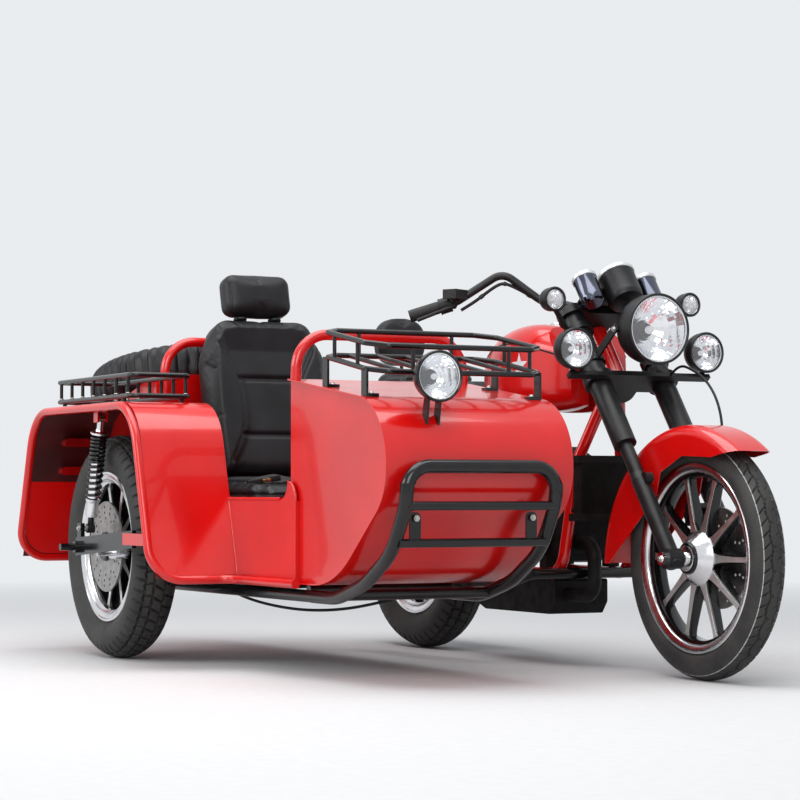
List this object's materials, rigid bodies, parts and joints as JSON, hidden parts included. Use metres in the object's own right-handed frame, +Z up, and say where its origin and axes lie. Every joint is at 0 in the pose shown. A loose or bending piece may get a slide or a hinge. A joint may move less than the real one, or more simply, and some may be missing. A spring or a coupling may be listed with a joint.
{
  "type": "sidecar motorcycle",
  "caption": "Road motorcycle with a boxy passenger sidecar on its right, luggage racks, crash bar, covered spare wheel and raked fork.",
  "frame": {"origin": "middle of the footprint, on the ground", "axes": "+X forward, +Y to the rider's left, +Z up; the sidecar is on -Y"},
  "size_m": [2.4902, 1.6348, 1.1194],
  "materials": {
    "red_paint": "gloss",
    "black_paint": "gloss",
    "black_vinyl": "satin",
    "black_plastic": "satin",
    "tyre": "matte",
    "alloy": "polished",
    "disc_steel": "brushed",
    "chrome": "polished",
    "engine_black": "satin",
    "lamp_glass": "clear",
    "lamp_red": "gloss"
  },
  "bodies": {
    "chassis": {"nose_skin": "red_paint", "nose_sides": "red_paint", "cockpit_walls": "red_paint", "sidecar_caliper": "alloy", "tail_lamps": "lamp_red", "foot_controls": "black_paint", "side_covers": "red_paint", "brake_line": "black_plastic", "floor_pan": "black_paint", "sidecar_tail": "red_paint", "sidecar_mudguard": "red_paint", "guard_edge_tube": "red_paint", "front_hoop": "red_paint", "rear_hoop": "red_paint", "nose_rack": "black_paint", "guard_rack": "black_paint", "crash_bar": "black_paint", "seat_cushion": "black_vinyl", "seat_back": "black_vinyl", "headrest": "black_vinyl", "seat_base": "black_plastic", "spare_wheel_cover": "black_vinyl", "spot_lamp": "black_plastic", "sidecar_chassis": "black_paint", "sidecar_swingarm": "black_paint", "sidecar_shock": "black_paint", "main_frame": "red_paint", "engine": "engine_black", "radiator": "engine_black", "exhaust": "chrome", "fuel_tank": "red_paint", "rider_seat": "black_vinyl", "pillion_seat": "black_vinyl", "backrest": "black_vinyl", "rear_fender": "red_paint", "rear_swingarm": "black_paint", "rear_shocks": "black_paint"},
    "fork": {"fork_legs": "black_paint", "fork_shrouds": "black_paint", "fork_clamps": "black_paint", "front_axle": "chrome", "front_fender": "red_paint", "front_caliper": "black_paint", "handlebar": "black_paint", "hand_controls": "black_plastic", "headlamp": "black_plastic", "fog_lamps": "black_plastic", "turn_signals": "black_plastic", "gauges": "black_plastic", "brake_hose": "black_plastic"},
    "front_wheel": {"front_tyre": "tyre", "front_rim": "alloy", "front_brake_disc": "disc_steel"},
    "rear_wheel": {"rear_tyre": "tyre", "rear_rim": "alloy", "rear_brake_disc": "disc_steel"},
    "sidecar_wheel": {"sidecar_tyre": "tyre", "sidecar_rim": "alloy", "sidecar_brake_disc": "disc_steel"}
  },
  "joints": [
    {"name": "steering", "type": "hinge", "parent": "chassis", "child": "fork", "pos_m": [0.50381, 0.391, 0.80202], "axis": [-0.5962, 0, 0.8028], "range_deg": [-35, 35]},
    {"name": "front_wheel_spin", "type": "hinge", "parent": "fork", "child": "front_wheel", "pos_m": [0.9315, 0.391, 0.31], "axis": [0, 1, 0], "continuous": true},
    {"name": "rear_wheel_spin", "type": "hinge", "parent": "chassis", "child": "rear_wheel", "pos_m": [-0.5735, 0.391, 0.321], "axis": [0, 1, 0], "continuous": true},
    {"name": "sidecar_wheel_spin", "type": "hinge", "parent": "chassis", "child": "sidecar_wheel", "pos_m": [-0.5485, -0.624, 0.321], "axis": [0, 1, 0], "continuous": true}
  ]
}
